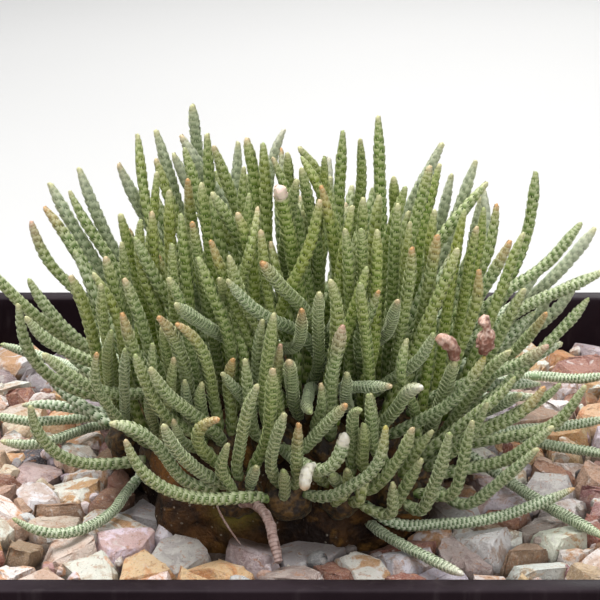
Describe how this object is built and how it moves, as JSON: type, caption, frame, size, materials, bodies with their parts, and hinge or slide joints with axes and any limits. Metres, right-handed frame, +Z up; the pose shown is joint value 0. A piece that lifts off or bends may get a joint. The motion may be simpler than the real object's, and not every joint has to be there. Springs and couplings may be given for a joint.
{
  "type": "potted avonia quinaria",
  "caption": "Small caudex succulent with finger-like scale-covered stems, in a square gravel-topped plastic pan.",
  "frame": {"origin": "middle of the pan's underside, on the surface it stands on", "axes": "+Z up; +Y away from the side that the picture shows; +X to the viewer's right"},
  "size_m": [0.15, 0.15, 0.1313],
  "materials": {
    "pot": "dark satin moulded plastic",
    "soil": "gritty brown potting mix",
    "gravel": "crushed mixed stone, matt",
    "caudex": "lumpy brown bark",
    "stem": "green stems under silvery papery scales",
    "withered": "dry and matt, pinkish brown"
  },
  "bodies": {
    "root": {"caudex": "caudex", "dried_flower_1": "withered", "dried_flower_2": "withered", "gravel": "gravel", "pot": "pot", "soil": "soil", "stem_tuft_01": "stem", "stem_tuft_02": "stem", "stem_tuft_03": "stem", "stem_tuft_04": "stem", "stem_tuft_05": "stem", "stem_tuft_06": "stem", "stem_tuft_07": "stem", "stem_tuft_08": "stem", "stem_tuft_09": "stem", "stem_tuft_10": "stem", "stem_tuft_11": "stem", "stem_tuft_12": "stem", "stem_tuft_13": "stem", "stem_tuft_14": "stem", "stem_tuft_15": "stem", "stem_tuft_16": "stem", "stem_tuft_17": "stem", "stem_tuft_18": "stem", "stem_tuft_19": "stem", "stem_tuft_20": "stem", "stem_tuft_21": "stem", "stem_tuft_22": "stem", "stem_tuft_23": "stem", "stem_tuft_24": "stem", "stem_tuft_25": "stem", "stem_tuft_26": "stem", "stem_tuft_27": "stem", "stem_tuft_28": "stem", "stem_tuft_29": "stem", "stem_tuft_30": "stem", "stem_tuft_31": "stem", "stem_tuft_32": "stem", "stem_tuft_33": "stem", "stem_tuft_34": "stem", "stem_tuft_35": "stem", "stem_tuft_36": "stem", "stem_tuft_37": "stem", "stem_tuft_38": "stem", "stem_tuft_39": "stem", "stem_tuft_40": "stem", "stem_tuft_41": "stem", "stem_tuft_42": "stem", "stem_tuft_43": "stem", "stem_tuft_44": "stem", "withered_stem": "withered"}
  },
  "joints": []
}
